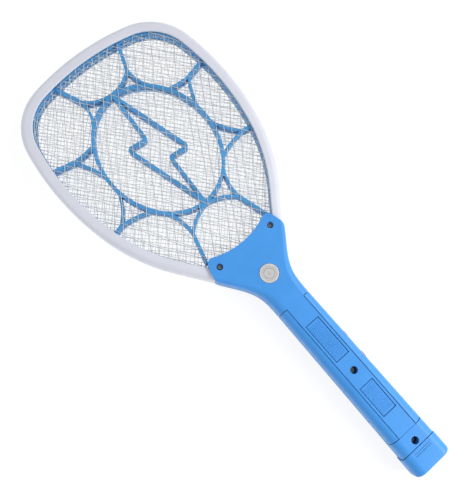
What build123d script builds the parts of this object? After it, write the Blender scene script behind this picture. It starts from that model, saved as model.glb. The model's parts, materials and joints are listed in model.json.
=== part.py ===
from build123d import *
import os

# Electric fly swatter, built as an assembly of separate pieces.
#
# Frame: millimetres, +Y from the handle towards the head, +X across, +Z up.
# The swatter lies on its front face, so its back face (the screw side) looks up.
# The two halves of every casing meet at the parting plane, half_thickness above
# the floor, and the two neck screws stand on either side of the origin.
# Heights called low, high or z are counted from the parting plane.

os.makedirs("parts", exist_ok=True)

# ---- driving dimensions -------------------------------------------------------

half_thickness = 13.0  # handle, from the parting plane to either flat face
wall = 2.0  # casing walls
slack = 0.1  # between pieces that are clamped together
travel_gap = 0.3  # around pieces that travel
overlap = 1.0  # how far a cut runs past the surface it opens

# head outline: four arcs, each tangent to the one before it, then a straight taper
head_top = 242.6
end_radius, end_turn = 235.0, 13.0
corner_radius, corner_turn = 55.0, 67.0
side_radius, side_turn = 265.0, 22.5
lower_radius, lower_turn = 185.0, 24.0
head_bottom = -10.0  # outer side of the crosspiece hidden in the neck
end_lean = 0.125  # how much more each inset moves the far end than the sides
head_half_width = 100.0  # at least

# rim section, insets counted from the head outline
rim_half = 8.9
rim_width = 11.0
rim_outer_fillet = 6.0
rim_inner_fillet = 1.1
rim_seat = 6.2
rim_seat_depth = 7.4
groove_outer, groove_inner, groove_depth = 2.6, 4.8, 4.4
lead_window_width, lead_window_half = 24.0, 6.6
foot_inner, foot_shoulder = (33.2, -12.5), (36.7, -7.5)  # where the feet of the rim narrow

# stack of layers in the rim's seat
band_outer, band_inner = 6.4, 10.8
mesh_edge, mesh_border = 6.7, 9.7
electrode_half = 0.5
lattice_low, lattice_high = 0.6, 4.8
outer_mesh_low, outer_mesh_high = 4.9, 5.7
retainer_low, retainer_high = 5.8, 7.3

# lattice
bar_width, spoke_width = 3.2, 2.6
ring_centre = 121.0
ring_half_width, ring_half_length = 54.5, 67.0
bolt_corner_radii = (0, 2.5, 2.5, 0, 2.5, 2.5)

# wire meshes: the two diagonals of a diamond cell, and the width of the wires
outer_cell = (20.0, 34.0)
electrode_cell = (20.0, 20.0)
wire_width = 1.0

# handle
shell_end_radius = 40.0  # the shells end in a shallow arc seen from the side
shell_end = -224.0
cap_start, cap_end = -216.0, -242.6
cap_half_width, cap_flank_radius, cap_end_fillet = 18.5, 8.2, 3.0
cap_wall, cap_inner_fillet = 1.8, 1.5
neck_corner, neck_corner_radius = (40.8, -8.0), 10.0
brow_corner, brow_corner_radius = (34.9, 12.4), 6.0
brow_middle = (0.0, 3.3)
neck_flank = (31.2, -21.5)  # just outside the neck's own outline
neck_end = 14.0
widest = 60.0  # beyond every half width

# torch
lens_y, lens_radius, lens_gap = -33.2, 8.7, 0.2
lens_top = 12.4

# screws
neck_screw_x, neck_screw_y = 29.3, -1.0
neck_screw_hole = 3.0
handle_screw_ys = (-142.0, -217.0)
handle_screw_hole, handle_screw_seat = 3.3, 3.0
screw_radius, screw_gap, screw_passage_gap = 1.3, 0.05, 0.2
screw_tip, pilot_end = -10.2, -10.5
boss_radius = 4.6

# controls on the +X edge
knob_y, knob_length, knob_half_height, knob_travel = -115.8, 5.5, 2.6, 3.0
button_y, button_length, button_half_height, button_travel = -139.0, 6.5, 3.6, 1.0
control_reach = 18.3
window_inside, window_outside = 14.0, 20.0  # from inside the handle's wall to outside it
flange_face = 14.7
flange_back = 13.3

# board, battery and plug
board_top, board_underside, board_half_width = -3.4, -4.6, 12.0
board_front, board_back, board_corner = -62.0, -148.0, 1.0
battery_front, battery_back = -151.0, -205.0
battery_half_width, battery_half_height, battery_fillet = 12.5, 9.3, 2.0
plug_front, plug_face = -209.0, -225.5
plug_width, plug_height, plug_corner = 30.6, 21.6, 5.8
pin_start, pin_end = -211.0, -239.3
pin_spacing, pin_width, pin_thickness = 12.7, 6.35, 1.5
lead_radius, lead_bend, mesh_lead_bend = 0.7, 2.0, 3.0


# ---- planes, export and shared tools ----------------------------------------------


def level(z):
    """Horizontal plane at a height above the parting plane."""
    return Plane.XY.offset(half_thickness + z)


def across(y):
    """Upright plane across the handle: its x is the row's X and its y is the height."""
    return Plane(origin=(0, y, half_thickness), x_dir=(1, 0, 0), z_dir=(0, -1, 0))


def sideways(x):
    """Upright plane along the handle: its x is the row's Y and its y is the height."""
    return Plane(origin=(x, 0, half_thickness), x_dir=(0, 1, 0), z_dir=(1, 0, 0))


def finish(piece, name):
    """Label a finished piece and write it out."""
    piece.part.label = name
    export_step(piece.part, f"parts/{name}.step")


def finish_pair(piece, stem):
    """Write a back half and its mirror image, the front half."""
    finish(piece, f"{stem}_back")
    with BuildPart() as front:
        mirror(piece.part, about=level(0))
    finish(front, f"{stem}_front")


def block(x_range, y_range, z_range):
    """Plain block between two corners, as a cutting tool or a simple piece."""
    with BuildPart() as solid:
        with BuildSketch(level(z_range[0])):
            with Locations(((x_range[0] + x_range[1]) / 2, (y_range[0] + y_range[1]) / 2)):
                Rectangle(x_range[1] - x_range[0], y_range[1] - y_range[0])
        extrude(amount=z_range[1] - z_range[0])
    return solid.part


def post(x, y, radius, z_range):
    """Upright cylinder, as a cutting tool, a boss or a leg."""
    with BuildPart() as solid:
        with BuildSketch(level(z_range[0])):
            with Locations((x, y)):
                Circle(radius)
        extrude(amount=z_range[1] - z_range[0])
    return solid.part


def neck_screw_holes(radius, z_range):
    """The pair of upright cylinders on the neck screws' axes."""
    with BuildPart() as holes:
        add(post(neck_screw_x, neck_screw_y, radius, z_range))
        mirror(about=Plane.YZ)
    return holes.part


def tube(points, bend):
    """Insulated lead along straight runs joined by arcs."""
    with BuildPart() as lead:
        with BuildLine():
            path = FilletPolyline(*points, radius=bend)
        with BuildSketch(Plane(origin=path @ 0, z_dir=path % 0)):
            Circle(lead_radius)
        sweep()
    return lead.part


def lead_point(x, y, z):
    """Point of a lead's route, with its height counted from the parting plane."""
    return (x, y, half_thickness + z)


# ---- head: outline ------------------------------------------------------------------


def head_outline(inset):
    """Egg-shaped outline of the head, moved inwards by inset."""
    low = head_bottom + inset
    with BuildLine() as outline:
        end = JernArc((0, head_top - (1 + end_lean) * inset), (1, 0), end_radius - inset, -end_turn)
        corner = JernArc(end @ 1, end % 1, corner_radius - inset, -corner_turn)
        side = JernArc(corner @ 1, corner % 1, side_radius - inset, -side_turn)
        lower = JernArc(side @ 1, side % 1, lower_radius - inset, -lower_turn)
        foot = lower @ 1 + (lower % 1) * ((low - (lower @ 1).Y) / (lower % 1).Y)
        Line(lower @ 1, foot)
        Line(foot, (0, low))
        mirror(about=Plane.YZ)
    return outline.edges()


def head_prism(inset, low, high):
    """Solid of the head's outline between two heights."""
    with BuildPart() as prism:
        with BuildSketch(level(low)):
            make_face(head_outline(inset))
        extrude(amount=high - low)
    return prism.part


screw_passage = neck_screw_holes(screw_radius + screw_passage_gap, (-half_thickness, half_thickness))

# ---- head: rim, retainers, lattice and meshes -----------------------------------------

with BuildPart() as rim:
    add(head_prism(0, 0, rim_half))
    outer_edges = rim.faces().sort_by(Axis.Z)[-1].edges()
    fillet(outer_edges.filter_by(lambda edge: edge.center().Y > head_bottom + overlap), rim_outer_fillet)
    add(head_prism(rim_width, 0, rim_half), mode=Mode.SUBTRACT)
    inner_edges = rim.faces().sort_by(Axis.Z)[-1].inner_wires()[0].edges()
    fillet(inner_edges, rim_inner_fillet)
    add(head_prism(rim_seat, 0, rim_seat_depth), mode=Mode.SUBTRACT)
    add(head_prism(groove_outer, 0, groove_depth) - head_prism(groove_inner, 0, groove_depth),
        mode=Mode.SUBTRACT)
    # the feet of the rim narrow to go between the neck's walls
    with BuildSketch(level(0)):
        Polygon(foot_inner, foot_shoulder, (widest, foot_shoulder[1]), (widest, foot_inner[1]), align=None)
        mirror(about=Plane.YZ)
    extrude(amount=rim_half, mode=Mode.SUBTRACT)
    lead_window = (-lead_window_width / 2, lead_window_width / 2)
    window_depth = (head_bottom - overlap, head_bottom + rim_seat + overlap)
    add(block(lead_window, window_depth, (0, lead_window_half)), mode=Mode.SUBTRACT)
    add(screw_passage, mode=Mode.SUBTRACT)
    # the heads of the neck screws sit on the retainer
    add(neck_screw_holes(neck_screw_hole, (retainer_high, rim_half)), mode=Mode.SUBTRACT)
finish_pair(rim, "rim")

with BuildPart() as retainer:
    add(head_prism(band_outer, retainer_low, retainer_high))
    add(head_prism(band_inner, retainer_low, retainer_high), mode=Mode.SUBTRACT)
    add(screw_passage, mode=Mode.SUBTRACT)
finish_pair(retainer, "mesh_retainer")

# Each spoke is a stem from the rim to a fork, then two arcs that run into the ring:
# (rim end, fork, (middle, end) of the first arc, (middle, end) of the second arc)
spokes = (
    ((38.0, 230.0), (26.5, 201.0), ((14.5, 192.6), (0.0, 189.6)), ((29.0, 182.0), (39.5, 167.5))),
    ((88.0, 163.5), (67.0, 158.5), ((55.0, 158.8), (44.0, 160.5)), ((59.5, 144.0), (54.2, 130.0))),
    ((80.0, 82.5), (71.5, 84.5), ((60.0, 98.0), (54.0, 112.0)), ((56.0, 82.3), (42.0, 77.5))),
    ((35.5, 9.0), (27.0, 38.5), ((27.6, 52.0), (33.5, 68.0)), ((15.0, 47.5), (0.0, 52.4))),
)
bolt = ((0, 188), (22.3, 105), (3.2, 107.5), (0, 54), (-22.3, 137), (-3.2, 134.5))

with BuildSketch() as bars:
    with Locations((0, ring_centre)):
        Ellipse(ring_half_width + bar_width / 2, ring_half_length + bar_width / 2)
        Ellipse(ring_half_width - bar_width / 2, ring_half_length - bar_width / 2, mode=Mode.SUBTRACT)
    for rim_end, fork, *arcs in spokes:
        trace(Line(rim_end, fork), line_width=bar_width)
        with Locations(fork):
            Circle(bar_width / 2)
        for middle, end in arcs:
            trace(ThreePointArc(fork, middle, end), line_width=spoke_width)
    mirror(about=Plane.YZ)

with BuildSketch() as bolt_middle:
    with BuildLine():
        FilletPolyline(*bolt, radius=bolt_corner_radii, close=True)
    make_face()

with BuildSketch() as bolt_bars:
    offset(bolt_middle.sketch, amount=bar_width / 2)
    offset(bolt_middle.sketch, amount=-bar_width / 2, mode=Mode.SUBTRACT)

with BuildPart() as lattice:
    add(head_prism(band_outer, lattice_low, lattice_high))
    add(head_prism(band_inner, lattice_low, lattice_high), mode=Mode.SUBTRACT)
    with BuildSketch(level(lattice_low)):
        add(bars.sketch)
        add(bolt_bars.sketch)
        make_face(head_outline((band_outer + band_inner) / 2), mode=Mode.INTERSECT)
    extrude(amount=lattice_high - lattice_low)
    add(screw_passage, mode=Mode.SUBTRACT)
finish_pair(lattice, "lattice")


def mesh_openings(cell):
    """Sketch of the diamond openings of a wire mesh, cut off at the mesh's border."""
    half_x, half_y = cell[0] / 2, cell[1] / 2
    reach = half_x * half_y / (half_x**2 + half_y**2) ** 0.5
    shrink = 1 - wire_width / 2 / reach
    open_x, open_y = half_x * shrink, half_y * shrink
    columns, rows = int(head_half_width / half_x), int(head_top / half_y)
    centres = [
        (i * half_x, j * half_y)
        for i in range(-columns, columns + 1)
        for j in range(rows + 1)
        if (i + j) % 2 == 0
    ]
    with BuildSketch() as openings:
        with Locations(*centres):
            Polygon((open_x, 0), (0, open_y), (-open_x, 0), (0, -open_y))
        make_face(head_outline(mesh_border), mode=Mode.INTERSECT)
    return openings.sketch


def mesh(cell, low, high):
    """Wire mesh with a plain border, as one pierced sheet."""
    with BuildPart() as sheet:
        with BuildSketch(level(low)):
            make_face(head_outline(mesh_edge))
            add(mesh_openings(cell), mode=Mode.SUBTRACT)
        extrude(amount=high - low)
        add(screw_passage, mode=Mode.SUBTRACT)
    return sheet


finish_pair(mesh(outer_cell, outer_mesh_low, outer_mesh_high), "outer_mesh")
finish(mesh(electrode_cell, -electrode_half, electrode_half), "electrode_mesh")


# ---- handle: shells -----------------------------------------------------------------------

# (y, half width, half height, flank radius) of the handle's cross-sections
grip_sections = ((-226.0, 17.65, 13.0, 7.6), (-62.0, 16.6, 13.0, 7.6))
neck_sections = (
    (-62.0, 16.6, 13.0, 7.6),
    (-52.0, 17.1, 12.85, 7.2),
    (-44.0, 18.6, 12.5, 6.6),
    (-36.0, 21.8, 12.1, 6.0),
    (-28.0, 26.6, 11.7, 5.4),
    (-12.0, 38.0, 11.2, 4.5),
    (neck_end, 56.2, 11.2, 4.5),
)
flank_draft = 0.8  # how fast the flank radius shrinks with the inset
strip_start, strip_end, strip_edge = -67.0, -207.5, 9.3
line_width, line_depth, cross_line_depth = 0.8, 0.6, 0.25
panels = ((-128.0, -88.3), (-186.5, -156.5))
panel_half_width, panel_depth, frame_depth = 7.35, 0.3, 0.8


def cross_section(y, half_width, half_height, radius, inset):
    """Upper half of the handle's section at y, moved inwards by inset."""
    with BuildSketch(across(y)) as face:
        Rectangle(2 * (half_width - inset), half_height - inset, align=(Align.CENTER, Align.MIN))
        fillet(face.vertices().group_by(Axis.Y)[-1], radius - flank_draft * inset)
    return face.sketch


def handle_solid(inset):
    """Upper half of the handle and its flared neck, moved inwards by inset."""
    with BuildPart() as solid:
        loft(sections=[cross_section(*station, inset) for station in grip_sections], ruled=True)
        loft(sections=[cross_section(*station, inset) for station in neck_sections])
    return solid.part


def neck_outline_prism():
    """Everything inside the neck plate's outline, with the handle left whole."""
    with BuildPart() as prism:
        with BuildSketch(level(0)):
            with BuildLine():
                ThreePointArc(brow_corner, brow_middle, (-brow_corner[0], brow_corner[1]))
                for side in (-1, 1):
                    Polyline((0, cap_end), (side * widest, cap_end), (side * widest, -widest / 2),
                             (side * neck_flank[0], neck_flank[1]), (side * neck_corner[0], neck_corner[1]),
                             (side * brow_corner[0], brow_corner[1]))
            make_face()
        extrude(amount=half_thickness)
        corners = prism.edges().filter_by(Axis.Z).group_by(Axis.Y)
        fillet(corners[-1], brow_corner_radius)
        fillet(corners[-2], neck_corner_radius)
    return prism.part


def shell_end_cut(radius):
    """Everything past the arc that ends the shells, out to the end of the cap."""
    centre = shell_end + shell_end_radius
    with BuildPart() as cut:
        with BuildSketch(sideways(-widest)):
            with Locations((centre, 0)):
                beyond = centre - cap_end + half_thickness
                Rectangle(beyond, 4 * half_thickness, align=(Align.MAX, Align.CENTER))
                Circle(radius, mode=Mode.SUBTRACT)
        extrude(amount=2 * widest)
    return cut.part


def strip_lines():
    """Thin grooves round the two side strips, as a cutting tool."""
    with BuildPart() as lines:
        for end in (strip_start, strip_end):
            line = (end - line_width / 2, end + line_width / 2)
            add(block((strip_edge, widest), line, (0, half_thickness)))
        add(handle_solid(0), mode=Mode.INTERSECT)
        add(handle_solid(line_depth), mode=Mode.SUBTRACT)
        edge_line = (strip_edge, strip_edge + line_width)
        add(block(edge_line, (strip_end, strip_start), (half_thickness - line_depth, half_thickness)))
        mirror(about=Plane.YZ)
    return lines.part


def control_window(start, end, half_height):
    """Opening for a control through the +X wall, upper half."""
    y_range = (start - travel_gap, end + travel_gap)
    return block((window_inside, window_outside), y_range, (0, half_height + travel_gap))


def panel_frame(panel):
    """Groove along the inside of a panel's edge, as a cutting tool."""
    heights = (half_thickness - frame_depth, half_thickness + overlap)
    inner_x = (-panel_half_width + line_width, panel_half_width - line_width)
    with BuildPart() as frame:
        add(block((-panel_half_width, panel_half_width), panel, heights))
        add(block(inner_x, (panel[0] + line_width, panel[1] - line_width), heights), mode=Mode.SUBTRACT)
    return frame.part


with BuildPart() as half_shell:
    add(handle_solid(0))
    add(neck_outline_prism(), mode=Mode.INTERSECT)
    add(handle_solid(wall), mode=Mode.SUBTRACT)
    add(shell_end_cut(shell_end_radius), mode=Mode.SUBTRACT)
    # the neck grips the rim beyond its corner
    rim_seat_range = (neck_corner[1] + travel_gap, neck_end)
    add(block((-widest, widest), rim_seat_range, (0, rim_half + slack)), mode=Mode.SUBTRACT)
    add(strip_lines(), mode=Mode.SUBTRACT)
    # windows of the two controls, shared by both shells
    knob_end = knob_y + knob_length / 2 + knob_travel
    add(control_window(knob_y - knob_length / 2, knob_end, knob_half_height), mode=Mode.SUBTRACT)
    button_end = button_y + button_length / 2
    add(control_window(button_y - button_length / 2, button_end, button_half_height), mode=Mode.SUBTRACT)

inside_top = half_thickness - wall
foot_depth = 0.5  # how far bosses and posts run into the wall
boss_foot = inside_top + foot_depth
boss_joint = 0.4  # where the bosses of the two shells meet
lens_bore_low = 8.0

with BuildPart() as back_shell:
    add(half_shell.part)
    for y in handle_screw_ys:
        add(post(0, y, boss_radius, (boss_joint, boss_foot)))
        add(post(0, y, handle_screw_hole, (handle_screw_seat, half_thickness)), mode=Mode.SUBTRACT)
        add(post(0, y, screw_radius + screw_gap, (0, handle_screw_seat)), mode=Mode.SUBTRACT)
    add(neck_screw_holes(neck_screw_hole, (rim_half - overlap, half_thickness)), mode=Mode.SUBTRACT)
    add(post(0, lens_y, lens_radius + lens_gap, (lens_bore_low, half_thickness)), mode=Mode.SUBTRACT)
    field_x = (-panel_half_width, panel_half_width)
    for panel in panels:
        add(block(field_x, panel, (half_thickness - panel_depth, half_thickness)), mode=Mode.SUBTRACT)
        add(panel_frame(panel), mode=Mode.SUBTRACT)
    cross_line = (strip_end - line_width / 2, strip_end + line_width / 2)
    cross_line_top = half_thickness - cross_line_depth
    add(block((-strip_edge, strip_edge), cross_line, (cross_line_top, half_thickness)), mode=Mode.SUBTRACT)
finish(back_shell, "handle_back_shell")

battery_ribs, rib_half_width, rib_half_length = (-160.0, -196.0), 8.0, 1.0
board_posts = ((-10.0, -66.0), (10.0, -66.0), (-10.0, -128.0), (10.0, -128.0))
board_post_radius, board_peg_radius, board_peg_top = 2.0, 0.9, -2.8
led_post_radius, led_base = 4.0, -3.6
indicator_y, indicator_radius, indicator_end = -72.0, 1.5, -12.6

with BuildPart() as front_shell:
    mirror(half_shell.part, about=level(0))
    for y in handle_screw_ys:
        add(post(0, y, boss_radius, (-boss_foot, boss_joint)))
        add(post(0, y, screw_radius + screw_gap, (pilot_end, boss_joint)), mode=Mode.SUBTRACT)
    add(neck_screw_holes(screw_radius + screw_gap, (pilot_end, -rim_half)), mode=Mode.SUBTRACT)
    for y in battery_ribs:
        rib = (y - rib_half_length, y + rib_half_length)
        add(block((-rib_half_width, rib_half_width), rib, (-boss_foot, -battery_half_height)))
    for x, y in board_posts:
        add(post(x, y, board_post_radius, (-boss_foot, board_underside)))
        add(post(x, y, board_peg_radius, (board_underside, board_peg_top)))
    add(post(0, lens_y, led_post_radius, (pilot_end, led_base)))
    indicator_bore = (-half_thickness, overlap - inside_top)
    add(post(0, indicator_y, indicator_radius + slack, indicator_bore), mode=Mode.SUBTRACT)
finish(front_shell, "handle_front_shell")

# ---- end cap and charging plug ----------------------------------------------------------------

cap_gap = 0.45
cap_marks_y, cap_mark_pitch, cap_mark_row, cap_mark_count = -226.3, 1.9, 2.0, 9
cap_mark_length, cap_mark_width, cap_mark_depth = 1.2, 0.7, 0.3
pin_chamfer = 0.4


def cap_solid(inset, end, end_fillet):
    """Both halves of the cap's outline, from inside the handle to its end."""
    with BuildPart() as solid:
        with BuildSketch(across(cap_start)):
            width, height = 2 * (cap_half_width - inset), 2 * (half_thickness - inset)
            RectangleRounded(width, height, cap_flank_radius - inset)
        extrude(amount=cap_start - end)
        fillet(solid.faces().sort_by(Axis.Y)[0].edges(), end_fillet)
    return solid.part


with BuildPart() as end_cap:
    add(cap_solid(0, cap_end, cap_end_fillet))
    add(cap_solid(cap_wall, cap_end + cap_wall, cap_inner_fillet), mode=Mode.SUBTRACT)
    add(shell_end_cut(shell_end_radius + cap_gap), mode=Mode.INTERSECT)
    with BuildSketch(level(half_thickness)):
        with Locations((0, cap_marks_y)):
            with GridLocations(cap_mark_pitch, cap_mark_row, cap_mark_count, 2):
                Rectangle(cap_mark_length, cap_mark_width)
    extrude(amount=-cap_mark_depth, mode=Mode.SUBTRACT)
finish(end_cap, "end_cap")

with BuildPart() as plug_housing:
    with BuildSketch(across(plug_front)):
        RectangleRounded(plug_width, plug_height, plug_corner)
    extrude(amount=plug_front - plug_face)
    boss_passage = boss_radius + 2 * slack
    add(post(0, handle_screw_ys[1], boss_passage, (-half_thickness, half_thickness)), mode=Mode.SUBTRACT)
    with BuildSketch(across(plug_face)):
        with GridLocations(pin_spacing, 0, 2, 1):
            Rectangle(pin_thickness, pin_width)
    extrude(amount=plug_face - plug_front, mode=Mode.SUBTRACT)
finish(plug_housing, "plug_housing")

with BuildPart() as plug_pins:
    with BuildSketch(across(pin_start)):
        with GridLocations(pin_spacing, 0, 2, 1):
            Rectangle(pin_thickness, pin_width)
    extrude(amount=pin_start - pin_end)
    chamfer(plug_pins.faces().group_by(Axis.Y)[0].edges(), pin_chamfer)
finish(plug_pins, "plug_pins")

# ---- torch ---------------------------------------------------------------------------------------

lens_flange_radius, lens_flange_low, lens_flange_high = 9.6, 8.2, 9.2
lens_fillet = 0.8
with BuildPart() as torch_lens:
    add(post(0, lens_y, lens_flange_radius, (lens_flange_low, lens_flange_high)))
    add(post(0, lens_y, lens_radius, (lens_flange_low, lens_top)))
    fillet(torch_lens.faces().sort_by(Axis.Z)[-1].edges(), lens_fillet)
finish(torch_lens, "torch_lens")

# (radius, height) of the reflector's bowl, its flange under the lens and its outside
bowl_points = ((3.0, -1.0), (6.6, 2.6), (8.4, 8.1))
flange_points = ((8.4, 8.1), (9.5, 8.1), (9.5, 6.5))
outside_points = ((9.5, 6.5), (7.6, 1.2), (4.2, -2.4))
foot_points = ((4.2, -2.4), (3.0, -2.4), (3.0, -1.0))
with BuildPart() as torch_reflector:
    with BuildSketch(across(lens_y)):
        with BuildLine():
            ThreePointArc(*bowl_points)
            Polyline(*flange_points)
            ThreePointArc(*outside_points)
            Polyline(*foot_points)
        make_face()
    revolve(axis=Axis((0, lens_y, 0), (0, 0, 1)))
finish(torch_reflector, "torch_reflector")

led_radius, led_flange_radius, led_flange_top, led_top = 2.5, 2.9, -2.6, 1.6
with BuildPart() as torch_led:
    add(post(0, lens_y, led_flange_radius, (led_base, led_flange_top)))
    add(post(0, lens_y, led_radius, (led_flange_top, led_top)))
    with Locations((0, lens_y, half_thickness + led_top)):
        Sphere(led_radius)
finish(torch_led, "torch_led")

# ---- controls ------------------------------------------------------------------------------------

knob_flange_half, knob_flange_margin, knob_fillet = 3.6, 3.6, 0.8
knob_pin_end, knob_pin_half = 11.0, 1.0
with BuildPart() as torch_knob:
    knob = (knob_y - knob_length / 2, knob_y + knob_length / 2)
    knob_plate = (knob[0] - knob_flange_margin, knob[1] + knob_flange_margin)
    add(block((flange_back, flange_face), knob_plate, (-knob_flange_half, knob_flange_half)))
    add(block((flange_face, control_reach), knob, (-knob_half_height, knob_half_height)))
    fillet(torch_knob.faces().sort_by(Axis.X)[-1].edges(), knob_fillet)
    knob_pin = (knob_y - knob_pin_half, knob_y + knob_pin_half)
    add(block((knob_pin_end, flange_back), knob_pin, (-knob_pin_half, knob_pin_half)))
finish(torch_knob, "torch_switch_knob")

slide_switch_x, slide_switch_half_length, slide_switch_top = (6.5, 12.0), 6.0, 2.6
slot_floor, slot_half = 10.0, 1.3
with BuildPart() as torch_switch:
    slide_switch = (knob_y - slide_switch_half_length, knob_y + slide_switch_half_length)
    add(block(slide_switch_x, slide_switch, (board_top, slide_switch_top)))
    slot = (knob_y - slot_half, knob_y + knob_travel + slot_half)
    add(block((slot_floor, flange_back), slot, (-slot_half, slot_half)), mode=Mode.SUBTRACT)
finish(torch_switch, "torch_switch_body")

button_flange_half_length, button_flange_half_height, button_fillet = 4.6, 4.9, 1.0
stem_radius, stem_end = 1.5, 8.8
with BuildPart() as zap_button:
    button_flange = (button_y - button_flange_half_length, button_y + button_flange_half_length)
    add(block((flange_back, flange_face), button_flange,
              (-button_flange_half_height, button_flange_half_height)))
    button = (button_y - button_length / 2, button_y + button_length / 2)
    add(block((flange_face, control_reach), button, (-button_half_height, button_half_height)))
    fillet(zap_button.faces().sort_by(Axis.X)[-1].edges(), button_fillet)
    with BuildSketch(sideways(stem_end)):
        with Locations((button_y, 0)):
            Circle(stem_radius)
    extrude(amount=flange_back - stem_end)
finish(zap_button, "zap_button")

push_switch_x, push_switch_half_length, push_switch_top = (6.2, 11.4), 3.3, 3.3
stem_bore_end = 7.4
with BuildPart() as zap_switch:
    push_switch = (button_y - push_switch_half_length, button_y + push_switch_half_length)
    add(block(push_switch_x, push_switch, (board_top, push_switch_top)))
    with BuildSketch(sideways(stem_bore_end)):
        with Locations((button_y, 0)):
            Circle(stem_radius + slack)
    extrude(amount=flange_back - stem_bore_end, mode=Mode.SUBTRACT)
finish(zap_switch, "zap_switch_body")

# ---- circuit board and what stands on it -------------------------------------------------------------

with BuildPart() as board:
    board_x = (-board_half_width, board_half_width)
    board_heights = (board_underside, board_top)
    add(block(board_x, (board_back, board_front), board_heights))
    fillet(board.edges().filter_by(Axis.Z), board_corner)
    for x, y in board_posts:
        add(post(x, y, board_peg_radius + slack, board_heights), mode=Mode.SUBTRACT)
    add(post(0, handle_screw_ys[0], boss_radius + travel_gap, board_heights), mode=Mode.SUBTRACT)
finish(board, "circuit_board")

transformer_x, transformer_y = -3.5, -82.0
core_half_width, core_half_length, core_high = 9.0, 3.0, 8.6
core_window_inner, core_window_outer, core_yoke = 2.6, 6.6, 2.6
with BuildPart() as transformer_core:
    core_y = (transformer_y - core_half_length, transformer_y + core_half_length)
    core_x = (transformer_x - core_half_width, transformer_x + core_half_width)
    add(block(core_x, core_y, (board_top, core_high)))
    for side in (-1, 1):
        window = sorted((transformer_x + side * core_window_inner, transformer_x + side * core_window_outer))
        add(block(window, core_y, (board_top + core_yoke, core_high - core_yoke)), mode=Mode.SUBTRACT)
finish(transformer_core, "transformer_core")

winding_width, winding_length, winding_corner = 13.0, 14.0, 2.0
with BuildPart() as transformer_winding:
    with BuildSketch(level(board_top + core_yoke + slack)):
        with Locations((transformer_x, transformer_y)):
            RectangleRounded(winding_width, winding_length, winding_corner)
            Rectangle(2 * core_window_inner + slack, 2 * core_half_length + slack, mode=Mode.SUBTRACT)
    extrude(amount=core_high - board_top - 2 * (core_yoke + slack))
finish(transformer_winding, "transformer_winding")

film_capacitor_x, film_capacitor_y, film_capacitor_top = (6.2, 12.0), (-91.0, -75.0), 7.4
film_capacitor_fillet = 1.6
with BuildPart() as high_voltage_capacitor:
    add(block(film_capacitor_x, film_capacitor_y, (board_top, film_capacitor_top)))
    fillet(high_voltage_capacitor.edges(), film_capacitor_fillet)
finish(high_voltage_capacitor, "high_voltage_capacitor")

can_place, can_radius, can_top, can_fillet = (-7.0, -99.0), 4.0, 7.6, 0.6
with BuildPart() as smoothing_capacitor:
    add(post(*can_place, can_radius, (board_top, can_top)))
    fillet(smoothing_capacitor.faces().sort_by(Axis.Z)[-1].edges(), can_fillet)
finish(smoothing_capacitor, "smoothing_capacitor")

leg_half, leg_reach = 0.3, 1.5


def axial_component(x, y, radius, length):
    """Round body lying on the board, with a bent leg at each end."""
    with BuildPart() as component:
        with BuildSketch(across(y + length / 2)):
            with Locations((x, board_top + radius)):
                Circle(radius)
        extrude(amount=length)
        for side in (-1, 1):
            reach = sorted((y + side * length / 2, y + side * (length / 2 + leg_reach)))
            add(block((x - leg_half, x + leg_half), reach, (board_top, board_top + radius + leg_half)))
    return component.part


diode_xs, diode_y, diode_radius, diode_length = (0.5, 4.5, 8.5), -98.5, 1.35, 5.0
with BuildPart() as diodes:
    for x in diode_xs:
        add(axial_component(x, diode_y, diode_radius, diode_length))
finish(diodes, "rectifier_diodes")

resistor_xs, resistor_y, resistor_radius, resistor_length = (-1.5, 2.0), -111.5, 1.15, 6.0
with BuildPart() as resistors:
    for x in resistor_xs:
        add(axial_component(x, resistor_y, resistor_radius, resistor_length))
finish(resistors, "resistors")

transistor_x, transistor_y, transistor_lift, transistor_height = -8.0, -112.0, 2.0, 4.8
transistor_radius, transistor_flat, leg_pitch, thin_leg = 2.4, 1.4, 1.3, 0.25
with BuildPart() as transistor:
    with BuildSketch(level(board_top + transistor_lift)):
        with Locations((transistor_x, transistor_y)):
            Circle(transistor_radius)
        with Locations((transistor_x, transistor_y - transistor_flat)):
            Rectangle(2 * transistor_radius, transistor_radius, align=(Align.CENTER, Align.MAX),
                      mode=Mode.SUBTRACT)
    extrude(amount=transistor_height)
    for x in (transistor_x - leg_pitch, transistor_x, transistor_x + leg_pitch):
        leg_y = (transistor_y - thin_leg, transistor_y + thin_leg)
        add(block((x - thin_leg, x + thin_leg), leg_y, (board_top, board_top + transistor_lift + slack)))
finish(transistor, "transistor")

with BuildPart() as indicator_led:
    add(post(0, indicator_y, indicator_radius, (indicator_end, board_underside)))
finish(indicator_led, "indicator_led")

# ---- battery and leads ------------------------------------------------------------------------------

with BuildPart() as battery:
    add(block((-battery_half_width, battery_half_width), (battery_back, battery_front),
              (-battery_half_height, battery_half_height)))
    fillet(battery.edges().filter_by(Axis.Y), battery_fillet)
finish(battery, "battery")

lead_height = board_top + lead_radius
lead_foot_y = -146.4  # where the leads from behind come down onto the board
battery_lead_x, battery_lead_height = 5.0, 3.0

with BuildPart() as battery_leads:
    for x in (-battery_lead_x, battery_lead_x):
        add(tube([lead_point(x, battery_front, battery_lead_height),
                  lead_point(x, lead_foot_y, battery_lead_height),
                  lead_point(x, lead_foot_y, board_top)], lead_bend))
finish(battery_leads, "battery_leads")

charging_lead_x, charging_foot_x, charging_turn_y = 13.9, 11.0, -149.8
with BuildPart() as charging_leads:
    for side in (-1, 1):
        add(tube([lead_point(side * charging_lead_x, plug_front, 0),
                  lead_point(side * charging_lead_x, charging_turn_y, 0),
                  lead_point(side * charging_foot_x, lead_foot_y, 0),
                  lead_point(side * charging_foot_x, lead_foot_y, board_top)], lead_bend))
finish(charging_leads, "charging_leads")

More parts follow.
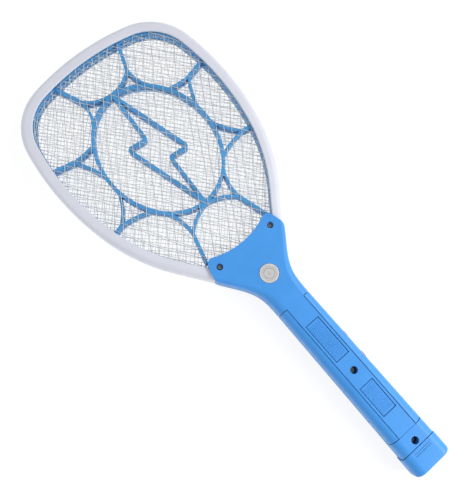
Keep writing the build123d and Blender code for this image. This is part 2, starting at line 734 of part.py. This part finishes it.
# the leads to the meshes start on the board, pass the torch and end on the meshes
mesh_lead_ys = (-66.0, -56.0, -44.0, -24.0, -14.0, head_bottom + band_outer)
lead_swerve, electrode_lead_x, outer_mesh_lead_xs = 7.0, 5.0, (-7.0, -4.0)


def mesh_lead(start_x, swerve, end_x, height):
    """Lead from the board round the torch to a mesh at the given height."""
    passing_x = start_x + swerve
    on_board, board_edge, torch_start, torch_end, neck, mesh_end = mesh_lead_ys
    return tube([lead_point(start_x, on_board, lead_height),
                 lead_point(start_x, board_edge, lead_height),
                 lead_point(passing_x, torch_start, lead_height),
                 lead_point(passing_x, torch_end, lead_height),
                 lead_point(end_x, neck, height),
                 lead_point(end_x, mesh_end, height)], mesh_lead_bend)


with BuildPart() as electrode_lead:
    add(mesh_lead(lead_swerve, lead_swerve, electrode_lead_x, 0))
finish(electrode_lead, "electrode_lead")

outer_mesh_height = (outer_mesh_low + outer_mesh_high) / 2
with BuildPart() as outer_mesh_leads:
    for x, height in zip(outer_mesh_lead_xs, (outer_mesh_height, -outer_mesh_height)):
        add(mesh_lead(x, -lead_swerve, x, height))
finish(outer_mesh_leads, "outer_mesh_leads")

# ---- screws ---------------------------------------------------------------------------------------------

head_fillet, cross_slot_half, cross_depth = 0.4, 0.35, 0.8


def screw(x, y, head_radius, seat, head_height):
    """Pan-head screw with a cross recess, standing head up on its seat."""
    cross_reach = 0.6 * head_radius
    top = seat + head_height
    with BuildPart() as solid:
        add(post(x, y, head_radius, (seat, top)))
        fillet(solid.faces().sort_by(Axis.Z)[-1].edges(), head_fillet)
        for half_x, half_y in ((cross_slot_half, cross_reach), (cross_reach, cross_slot_half)):
            add(block((x - half_x, x + half_x), (y - half_y, y + half_y), (top - cross_depth, top)),
                mode=Mode.SUBTRACT)
        add(post(x, y, screw_radius, (screw_tip, seat)))
    return solid.part


neck_head_radius, neck_head_height = 1.9, 1.2
with BuildPart() as neck_screws:
    for x in (-neck_screw_x, neck_screw_x):
        add(screw(x, neck_screw_y, neck_head_radius, retainer_high, neck_head_height))
finish(neck_screws, "neck_screws")

handle_head_radius, handle_head_height = 2.7, 1.8
with BuildPart() as handle_screws:
    for y in handle_screw_ys:
        add(screw(0, y, handle_head_radius, handle_screw_seat, handle_head_height))
finish(handle_screws, "handle_screws")
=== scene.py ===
import json
import math
import random

import bpy
import numpy as np
from mathutils import Matrix, Vector
from mathutils.bvhtree import BVHTree


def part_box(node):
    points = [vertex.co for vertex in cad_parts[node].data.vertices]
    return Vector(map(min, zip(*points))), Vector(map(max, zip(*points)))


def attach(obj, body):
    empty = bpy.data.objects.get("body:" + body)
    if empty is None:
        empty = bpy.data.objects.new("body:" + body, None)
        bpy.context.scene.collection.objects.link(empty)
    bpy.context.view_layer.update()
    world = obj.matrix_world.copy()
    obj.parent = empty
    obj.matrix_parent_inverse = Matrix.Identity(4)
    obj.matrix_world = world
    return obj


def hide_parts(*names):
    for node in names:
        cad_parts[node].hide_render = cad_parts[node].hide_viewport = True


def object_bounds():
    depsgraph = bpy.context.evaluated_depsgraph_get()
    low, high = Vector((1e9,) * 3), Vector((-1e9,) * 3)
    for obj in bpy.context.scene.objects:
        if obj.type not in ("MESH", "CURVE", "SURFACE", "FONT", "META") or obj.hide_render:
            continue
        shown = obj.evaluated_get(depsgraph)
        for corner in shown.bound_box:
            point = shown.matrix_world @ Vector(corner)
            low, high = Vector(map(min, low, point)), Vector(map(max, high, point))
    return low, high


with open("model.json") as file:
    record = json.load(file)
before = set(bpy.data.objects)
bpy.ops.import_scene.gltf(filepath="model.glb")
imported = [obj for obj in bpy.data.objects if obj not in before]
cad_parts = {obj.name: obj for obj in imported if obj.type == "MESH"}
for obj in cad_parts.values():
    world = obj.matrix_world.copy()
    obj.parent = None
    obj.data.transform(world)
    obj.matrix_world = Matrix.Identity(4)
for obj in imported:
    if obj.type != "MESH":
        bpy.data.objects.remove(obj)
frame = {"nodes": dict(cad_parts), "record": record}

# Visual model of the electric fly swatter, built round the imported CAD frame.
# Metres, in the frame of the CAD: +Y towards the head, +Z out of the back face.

cad_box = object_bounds()
nodes = frame["nodes"]
SWATTER = "swatter"
MM = 0.001
rng = random.Random(7)
GROOVE_SHADE_REACH = 4 * MM  # how wide a groove, hole or seam may be and still get painted shade
SIDE_SHADE_REACH = 50 * MM  # how near the floor an upright wall gets painted shade

low, high = cad_box
parting = (low[2] + high[2]) / 2


# ---- meshes ---------------------------------------------------------------------------


def add_piece(name, verts, faces, material, body=SWATTER, smooth=True):
    """New mesh object that rides on a CAD body."""
    mesh = bpy.data.meshes.new(name)
    mesh.from_pydata([tuple(v) for v in verts], [], [tuple(f) for f in faces])
    mesh.materials.append(material)
    if smooth:
        mesh.shade_smooth()
    piece = bpy.data.objects.new(name, mesh)
    bpy.context.scene.collection.objects.link(piece)
    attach(piece, body)
    return piece


class TubeSet:
    """Collects many thin round wires into one mesh."""

    def __init__(self, radius, sides):
        self.radius = radius
        self.turn = np.linspace(0, 2 * math.pi, sides, endpoint=False) + math.pi / sides
        self.sides = sides
        self.verts = []
        self.faces = []
        self.count = 0

    def add(self, points):
        """Wire along points, which run mostly in the horizontal plane."""
        points = np.asarray(points)
        tangent = np.gradient(points, axis=0)
        tangent /= np.linalg.norm(tangent, axis=1)[:, None]
        side = np.stack([-tangent[:, 1], tangent[:, 0], np.zeros(len(points))], 1)
        side /= np.linalg.norm(side, axis=1)[:, None]
        up = np.cross(tangent, side)
        ring = (np.cos(self.turn)[None, :, None] * side[:, None, :]
                + np.sin(self.turn)[None, :, None] * up[:, None, :])
        verts = points[:, None, :] + self.radius * ring
        n, s, base = len(points), self.sides, self.count
        for i in range(n - 1):
            a = base + i * s
            for j in range(s):
                k = (j + 1) % s
                self.faces.append((a + j, a + k, a + s + k, a + s + j))
        self.faces.append(tuple(base + j for j in reversed(range(s))))
        self.faces.append(tuple(base + (n - 1) * s + j for j in range(s)))
        self.verts.append(verts.reshape(-1, 3))
        self.count += n * s

    def finish(self, name, material):
        """Makes one piece of all the wires."""
        return add_piece(name, np.concatenate(self.verts), self.faces, material)


# ---- materials ------------------------------------------------------------------------


def new_material(name, color, roughness=0.4, metallic=0.0, **sockets):
    """Principled material; returns it with its tree and shader."""
    material = bpy.data.materials.new(name)
    material.use_nodes = True
    tree = material.node_tree
    shader = tree.nodes["Principled BSDF"]
    shader.inputs["Base Color"].default_value = (*color, 1.0)
    shader.inputs["Roughness"].default_value = roughness
    shader.inputs["Metallic"].default_value = metallic
    for socket, value in sockets.items():
        shader.inputs[socket.replace("_", " ")].default_value = value
    return material, tree, shader


def noise(tree, scale, detail=3.0, rough=0.5):
    """Noise over the object's own coordinates."""
    coords = tree.nodes.new("ShaderNodeTexCoord")
    node = tree.nodes.new("ShaderNodeTexNoise")
    node.inputs["Scale"].default_value = scale
    node.inputs["Detail"].default_value = detail
    node.inputs["Roughness"].default_value = rough
    tree.links.new(coords.outputs["Object"], node.inputs["Vector"])
    return node.outputs["Fac"]


def spread(tree, value, low_value, high_value, low_in=0.3, high_in=0.7):
    """Maps a 0 to 1 pattern to a range."""
    node = tree.nodes.new("ShaderNodeMapRange")
    node.inputs["From Min"].default_value = low_in
    node.inputs["From Max"].default_value = high_in
    node.inputs["To Min"].default_value = low_value
    node.inputs["To Max"].default_value = high_value
    tree.links.new(value, node.inputs["Value"])
    return node.outputs["Result"]


def tint(tree, shader, value, dark, light):
    """Base colour between two tones by a 0 to 1 pattern."""
    ramp = tree.nodes.new("ShaderNodeValToRGB")
    ramp.color_ramp.elements[0].position = 0.3
    ramp.color_ramp.elements[0].color = (*dark, 1)
    ramp.color_ramp.elements[1].position = 0.7
    ramp.color_ramp.elements[1].color = (*light, 1)
    tree.links.new(value, ramp.inputs["Fac"])
    tree.links.new(ramp.outputs["Color"], shader.inputs["Base Color"])


def paint_corner_shade(tree, shader, reach, shade_darkest, low_in=0.02, high_in=0.5):
    """Paints shade into the base colour where other surfaces within reach close it in."""
    node = tree.nodes.new("ShaderNodeAmbientOcclusion")
    node.samples = 8
    node.inputs["Distance"].default_value = reach
    factor = spread(tree, node.outputs["AO"], shade_darkest, 1.0, low_in, high_in)
    mix = tree.nodes.new("ShaderNodeVectorMath")
    mix.operation = "MULTIPLY"
    tree.links.new(shader.inputs["Base Color"].links[0].from_socket, mix.inputs[0])
    tree.links.new(factor, mix.inputs[1])
    tree.links.new(mix.outputs["Vector"], shader.inputs["Base Color"])


def bump(tree, shader, height, strength, distance, rounding=0.0):
    """Surface relief from a pattern, over edges rounded by the given radius."""
    node = tree.nodes.new("ShaderNodeBump")
    if rounding:
        edge = tree.nodes.new("ShaderNodeBevel")
        edge.samples = 6
        edge.inputs["Radius"].default_value = rounding
        tree.links.new(edge.outputs["Normal"], node.inputs["Normal"])
    node.inputs["Strength"].default_value = strength
    node.inputs["Distance"].default_value = distance
    tree.links.new(height, node.inputs["Height"])
    tree.links.new(node.outputs["Normal"], shader.inputs["Normal"])


def moulded(name, dark, light, roughness, grain=2200.0, strength=0.12, rounding=0.0, shade_darkest=1.0,
            side_shade=1.0):
    """Injection-moulded plastic: fine spark grain, faint flow marks and uneven polish, with painted shade in
    grooves and on walls near the floor when asked.
    """
    material, tree, shader = new_material(name, light, roughness)
    tint(tree, shader, noise(tree, 38.0, 2.0), dark, light)
    tree.links.new(spread(tree, noise(tree, 160.0, 4.0), roughness - 0.06, roughness + 0.07),
                   shader.inputs["Roughness"])
    bump(tree, shader, noise(tree, grain, 2.0), strength, 0.00012, rounding)
    # Painted shade: the colour darkens in grooves, holes and seams.
    if shade_darkest < 1:
        paint_corner_shade(tree, shader, GROOVE_SHADE_REACH, shade_darkest)
    # Painted shade: the colour darkens on upright walls near the floor.
    if side_shade < 1:
        paint_corner_shade(tree, shader, SIDE_SHADE_REACH, side_shade, low_in=0.45, high_in=0.85)
    return material


def metal(name, color, roughness, grain, variation=0.08, metallic=1.0, shade_darkest=1.0):
    """Metal with slight tarnish and drawn or stamped marks, and painted shade in grooves when asked."""
    material, tree, shader = new_material(name, color, roughness, metallic)
    tint(tree, shader, noise(tree, 240.0, 3.0), tuple(c * 0.86 for c in color), color)
    tree.links.new(spread(tree, noise(tree, grain, 3.0), roughness - variation, roughness + variation),
                   shader.inputs["Roughness"])
    bump(tree, shader, noise(tree, grain * 3, 2.0), 0.08, 0.00005)
    # Painted shade: the colour darkens in grooves and holes.
    if shade_darkest < 1:
        paint_corner_shade(tree, shader, GROOVE_SHADE_REACH, shade_darkest)
    return material


# The handle, lattice and rim carry painted shade in grooves and seams; the handle also on its walls near the
# floor.
blue_handle = moulded("blue_handle", (0.060, 0.335, 0.850), (0.066, 0.360, 0.905), 0.42,
                      rounding=0.0003, shade_darkest=0.25, side_shade=0.6)
blue_lattice = moulded("blue_lattice", (0.060, 0.310, 0.640), (0.085, 0.385, 0.790), 0.34, 1500.0,
                       rounding=0.0012, shade_darkest=0.25)
white_rim = moulded("white_rim", (0.790, 0.805, 0.895), (0.825, 0.840, 0.920), 0.38, 1800.0, 0.06,
                    rounding=0.0005, shade_darkest=0.25)
wire = metal("mesh_wire", (0.86, 0.86, 0.85), 0.38, 900.0, metallic=0.3)
red_control = moulded("red_control", (0.55, 0.045, 0.03), (0.72, 0.075, 0.05), 0.35)
black_plastic = moulded("black_plastic", (0.012, 0.012, 0.014), (0.022, 0.022, 0.024), 0.45)
# The screw steel carries deep painted shade where its hole closes round it.
screw_steel = metal("screw_steel", (0.40, 0.41, 0.44), 0.38, 1400.0, shade_darkest=0.04)
pin_metal = metal("brass_pin", (0.78, 0.72, 0.55), 0.24, 900.0)
reflector = metal("reflector", (0.86, 0.86, 0.86), 0.12, 300.0, 0.04)
board = moulded("board", (0.010, 0.085, 0.030), (0.016, 0.120, 0.045), 0.35, 900.0)
ferrite = moulded("ferrite", (0.018, 0.018, 0.020), (0.034, 0.034, 0.037), 0.62, 1300.0, 0.3)
tape = moulded("winding_tape", (0.60, 0.40, 0.04), (0.74, 0.52, 0.07), 0.30, 700.0)
capacitor_coat = moulded("capacitor_coat", (0.26, 0.03, 0.015), (0.34, 0.045, 0.02), 0.22, 300.0)
resistor_coat = moulded("resistor_coat", (0.50, 0.36, 0.20), (0.60, 0.44, 0.25), 0.4, 800.0)
battery_case = moulded("battery_case", (0.50, 0.51, 0.53), (0.58, 0.59, 0.61), 0.45, 1200.0)
red_lead = moulded("red_lead", (0.34, 0.015, 0.012), (0.44, 0.025, 0.018), 0.38, 1200.0)
black_lead = moulded("black_lead", (0.010, 0.010, 0.010), (0.020, 0.020, 0.020), 0.38, 1200.0)


def lens_plastic():
    """Clear disc: milky bright face, with rings of painted reflection for the reflector seen through it,
    among them a faint grey ring of the reflector's neck, and a pale edge.
    """
    material, tree, shader = new_material("lens", (0.88, 0.86, 0.85), 0.2, Transmission_Weight=0.25, IOR=1.4)
    lens_low, lens_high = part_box("torch_lens")
    middle = [(a + b) / 2 for a, b in zip(lens_low, lens_high)]
    coords = tree.nodes.new("ShaderNodeTexCoord")
    offset = tree.nodes.new("ShaderNodeVectorMath")
    offset.operation = "SUBTRACT"
    offset.inputs[1].default_value = (middle[0], middle[1], 0)
    flat = tree.nodes.new("ShaderNodeVectorMath")
    flat.operation = "MULTIPLY"
    flat.inputs[1].default_value = (1, 1, 0)
    radius = tree.nodes.new("ShaderNodeVectorMath")
    radius.operation = "LENGTH"
    tree.links.new(coords.outputs["Object"], offset.inputs[0])
    tree.links.new(offset.outputs["Vector"], flat.inputs[0])
    tree.links.new(flat.outputs["Vector"], radius.inputs[0])
    wobble = spread(tree, noise(tree, 260.0, 2.0), -0.0006, 0.0006)
    blurred = tree.nodes.new("ShaderNodeMath")
    tree.links.new(radius.outputs["Value"], blurred.inputs[0])
    tree.links.new(wobble, blurred.inputs[1])
    zone = spread(tree, blurred.outputs[0], 0, 1, 0.0, 0.0096)
    # Painted reflection: tones by distance from the centre stand for the reflector seen through the disc.
    ramp = tree.nodes.new("ShaderNodeValToRGB")
    painted_rings = ramp.color_ramp
    painted_rings.elements[0].color = (0.62, 0.60, 0.57, 1)
    painted_rings.elements[1].color = (0.93, 0.93, 0.93, 1)
    for place, tone in ((0.22, 0.80), (0.40, 0.86), (0.47, 0.52), (0.54, 0.78), (0.74, 0.76), (0.80, 0.97)):
        painted_rings.elements.new(place).color = (tone, tone * 0.985, tone * 0.97, 1)
    tree.links.new(zone, ramp.inputs["Fac"])
    tree.links.new(ramp.outputs["Color"], shader.inputs["Base Color"])
    tree.links.new(spread(tree, noise(tree, 420.0, 3.0), 0.16, 0.34), shader.inputs["Roughness"])
    bump(tree, shader, noise(tree, 620.0, 2.0), 0.25, 0.0002)
    return material


def led_epoxy():
    """Clear epoxy over a yellow-green phosphor."""
    material, tree, shader = new_material("led", (0.62, 0.60, 0.30), 0.12, Transmission_Weight=0.25)
    tint(tree, shader, noise(tree, 900.0, 2.0), (0.42, 0.44, 0.16), (0.78, 0.74, 0.42))
    return material


def indicator_epoxy():
    """Green-tinted epoxy."""
    material, tree, shader = new_material("indicator", (0.05, 0.45, 0.10), 0.18, Transmission_Weight=0.3)
    tint(tree, shader, noise(tree, 900.0, 2.0), (0.03, 0.34, 0.06), (0.08, 0.52, 0.14))
    return material


by_slot = {
    "blue_handle": blue_handle, "blue_lattice": blue_lattice, "white_rim": white_rim, "mesh_wire": wire,
    "lens": lens_plastic(), "reflector": reflector, "led": led_epoxy(), "red_control": red_control,
    "black_plastic": black_plastic, "brass_pin": pin_metal, "board": board, "ferrite": ferrite,
    "winding_tape": tape, "capacitor_coat": capacitor_coat, "resistor_coat": resistor_coat,
    "indicator": indicator_epoxy(), "battery_case": battery_case, "red_lead": red_lead,
    "black_lead": black_lead, "screw_steel": screw_steel,
}

for part in frame["record"]["subparts"]:
    node = nodes[part["node"]]
    for material_slot in node.material_slots:
        material_slot.link = "OBJECT"
        material_slot.material = by_slot[part["material_slot"]]


def soften(name, width):
    """Rounds the hard edges of a CAD node as moulding does."""
    bevel = nodes[name].modifiers.new("edge", "BEVEL")
    bevel.width = width
    bevel.segments = 3
    bevel.limit_method = "ANGLE"
    bevel.angle_limit = math.radians(35)


for name in ("lattice_back", "lattice_front"):
    soften(name, 0.9 * MM)

# ---- wire meshes ---------------------------------------------------------------------------

HEAD_CENTRE = Vector((0, 0.12, 0))
RAYS_PER_DEGREE = 2  # for finding the inner wall of the retaining band
WIRE_REACH = 300 * MM  # from the head's centre, before a wire is cut to the head
WIRE_STEP = 1.4 * MM  # between the rings of a wire's mesh
WIRE_OVERLAP = 3 * MM  # how far the wires run into the retaining band
WEAVE = 0.95  # how far a wire rises and falls, in wire radii
# Waves by which the wires sway: radians a metre, then the shift from wire to wire and from
# family to family.
SWAYS = ((70, 1.7, 1), (23, 0.6, 0))


def head_reach(node, height):
    """Distances from the head's centre to the inner wall of a ring-shaped node, all the way round."""
    mesh = nodes[node].data
    tree = BVHTree.FromPolygons([v.co for v in mesh.vertices], [p.vertices for p in mesh.polygons])
    start = Vector((HEAD_CENTRE.x, HEAD_CENTRE.y, height))
    distances = []
    for ray in range(360 * RAYS_PER_DEGREE):
        angle = math.radians(ray / RAYS_PER_DEGREE)
        hit = tree.ray_cast(start, Vector((math.cos(angle), math.sin(angle), 0)))
        distances.append(hit[3])
    return np.array(distances)


retainer_low, retainer_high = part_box("mesh_retainer_back")
reach = head_reach("mesh_retainer_back", (retainer_low[2] + retainer_high[2]) / 2)


def inside(points, margin):
    """True for points inside the retaining band's inner wall, or past it by less than margin."""
    offset = points[:, :2] - np.array(HEAD_CENTRE[:2])
    angle = np.degrees(np.arctan2(offset[:, 1], offset[:, 0])) % 360
    rays = np.arange(360 * RAYS_PER_DEGREE + 1) / RAYS_PER_DEGREE
    limit = np.interp(angle, rays, np.append(reach, reach[0]))
    return np.hypot(offset[:, 0], offset[:, 1]) < limit + margin


def woven_mesh(name, node, slant, pitch, radius, sides, wander):
    """Two families of wavy wires that pass over and under each other, in place of a CAD mesh."""
    tubes = TubeSet(radius, sides)
    node_low, node_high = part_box(node)
    height = (node_low[2] + node_high[2]) / 2
    middle = np.array(HEAD_CENTRE[:2])
    directions = [np.array([s * math.sin(slant), math.cos(slant)]) for s in (-1, 1)]
    count = int(WIRE_REACH / pitch)
    for family, along in enumerate(directions):
        across = np.array([along[1], -along[0]])
        other = directions[1 - family]
        other_across = np.array([other[1], -other[0]])
        for i in range(-count, count + 1):
            start = middle + across * (i * pitch)
            distance = np.arange(-WIRE_REACH, WIRE_REACH, WIRE_STEP)
            flat = start + distance[:, None] * along
            crossing = (flat - middle) @ other_across / pitch
            sign = 1 if (i + family) % 2 else -1
            wave = sign * np.cos(math.pi * crossing) * radius * WEAVE
            sway = sum(wander * np.sin(distance * rate + i * wire_shift + family * family_shift)
                       for rate, wire_shift, family_shift in SWAYS)
            flat = flat + across * sway[:, None]
            points = np.column_stack([flat, height + wave])
            keep = inside(points, WIRE_OVERLAP)
            runs = np.flatnonzero(np.diff(np.concatenate([[0], keep.astype(int), [0]])))
            for first, last in zip(runs[::2], runs[1::2]):
                if last - first > 3:
                    tubes.add(points[first:last])
    piece = tubes.finish(name, wire)
    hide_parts(node)


for side in ("back", "front"):
    woven_mesh(f"outer_wires_{side}", f"outer_mesh_{side}", slant=math.radians(34), pitch=7.8 * MM,
               radius=0.28 * MM, sides=6, wander=0.9 * MM)
woven_mesh("electrode_wires", "electrode_mesh", slant=math.radians(45), pitch=3.5 * MM,
           radius=0.27 * MM, sides=4, wander=0.4 * MM)

# ---- raised marks on the handle's two panels ---------------------------------------------------


def field_boxes(node, depth):
    """Rectangles of the flat fields that lie depth below a node's top, near end first."""
    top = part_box(node)[1][2]
    mesh = nodes[node].data
    spans = []
    for face in mesh.polygons:
        level = abs(top - depth - face.center.z) < 0.02 * MM
        if level and face.normal.z > 0.999:
            corners = [mesh.vertices[index].co for index in face.vertices]
            spans.append([min(c.x for c in corners), min(c.y for c in corners),
                          max(c.x for c in corners), max(c.y for c in corners)])
    boxes = []
    for span in sorted(spans, key=lambda item: item[1]):
        if boxes and span[1] < boxes[-1][3] - 0.1 * MM:
            last = boxes[-1]
            boxes[-1] = [min(last[0], span[0]), last[1], max(last[2], span[2]), max(last[3], span[3])]
        else:
            boxes.append(span)
    fields = [box for box in boxes if min(box[2] - box[0], box[3] - box[1]) > 10 * MM]
    return fields, top - depth


def dash(verts, faces, x, y, half_x, half_y, low_z, high_z):
    """Raised dash with sloping sides."""
    base = len(verts)
    for z, shrink in ((low_z, 1.0), (high_z, 0.7)):
        for dx, dy in ((-1, -1), (1, -1), (1, 1), (-1, 1)):
            verts.append((x + dx * half_x * shrink, y + dy * half_y - (1 - shrink) * dy * half_x, z))
    faces.append((base + 4, base + 5, base + 6, base + 7))
    for k in range(4):
        n = (k + 1) % 4
        faces.append((base + k, base + n, base + 4 + n, base + 4 + k))
    faces.append((base + 3, base + 2, base + 1, base))


mark_half_width, column_pitch = 0.36 * MM, 1.65 * MM
mark_lengths, mark_gaps = (0.7 * MM, 1.9 * MM), (0.5 * MM, 0.9 * MM)
mark_root, mark_height = 0.05 * MM, 0.24 * MM  # below and above the field
side_start, side_end = 1.5 * MM, 1.2 * MM  # plain margins of a field, across the handle
row_start, row_end = 1.4 * MM, 2.6 * MM  # and along it

panel_boxes, field_height = field_boxes("handle_back_shell", 0.3 * MM)
for number, (x0, y0, x1, y1) in enumerate(panel_boxes, 1):
    verts, faces = [], []
    x = x0 + side_start
    while x < x1 - side_end:
        y = y0 + row_start
        while y < y1 - row_end:
            length = rng.uniform(*mark_lengths)
            dash(verts, faces, x, y + length / 2, mark_half_width, length / 2,
                 field_height - mark_root, field_height + mark_height)
            y += length + rng.uniform(*mark_gaps)
        x += column_pitch
    add_piece(f"panel_marks_{number}", verts, faces, blue_handle, smooth=False)

# ---- stage -------------------------------------------------------------------------------------

floor_material, floor_tree, floor_shader = new_material(
    "floor", (0.24, 0.24, 0.24), 0.9, Emission_Color=(1.0, 1.0, 1.0, 1.0), Emission_Strength=0.83)
bump(floor_tree, floor_shader, noise(floor_tree, 60.0, 4.0), 0.05, 0.001)
bpy.ops.mesh.primitive_plane_add(size=8, location=(0, 0, low[2] - 0.3 * MM))
floor = bpy.context.active_object
floor.name = "floor"
floor.data.materials.append(floor_material)

world = bpy.data.worlds.new("studio")
bpy.context.scene.world = world
world.use_nodes = True
world.node_tree.nodes["Background"].inputs["Color"].default_value = (0.95, 0.97, 1.0, 1.0)
world.node_tree.nodes["Background"].inputs["Strength"].default_value = 0.45


def softbox(name, location, size, power):
    """Square area light aimed at the middle of the swatter."""
    light = bpy.data.lights.new(name, "AREA")
    light.size = size
    light.energy = power
    holder = bpy.data.objects.new(name, light)
    holder.location = location
    aim = Vector((0, 0, parting)) - Vector(location)
    holder.rotation_euler = aim.to_track_quat("-Z", "Y").to_euler()
    bpy.context.scene.collection.objects.link(holder)


softbox("key", (1.15, -0.05, 1.05), 0.55, 5.6)
softbox("end", (0.30, -0.52, 0.42), 0.35, 2.4)
softbox("fill", (-0.75, 0.55, 0.80), 0.7, 2.4)

# The camera looks down on the back of the swatter from above the left side of its neck.
camera_place = Vector((-0.0881, -0.0588, 0.5057))
camera_look = Vector((0.1594, 0.1240, -0.9794)).normalized()
camera_up = Vector((0.6313, 0.7499, 0.1976))
camera_right = camera_look.cross(camera_up).normalized()
camera_up = camera_right.cross(camera_look)
lens = bpy.data.cameras.new("camera")
lens.lens = 40.3
lens.clip_start = 0.01
camera = bpy.data.objects.new("camera", lens)
turn = Matrix((camera_right, camera_up, -camera_look)).transposed()
camera.matrix_world = Matrix.Translation(camera_place) @ turn.to_4x4()
bpy.context.scene.collection.objects.link(camera)
bpy.context.scene.camera = camera
bpy.context.scene.view_settings.view_transform = "Standard"
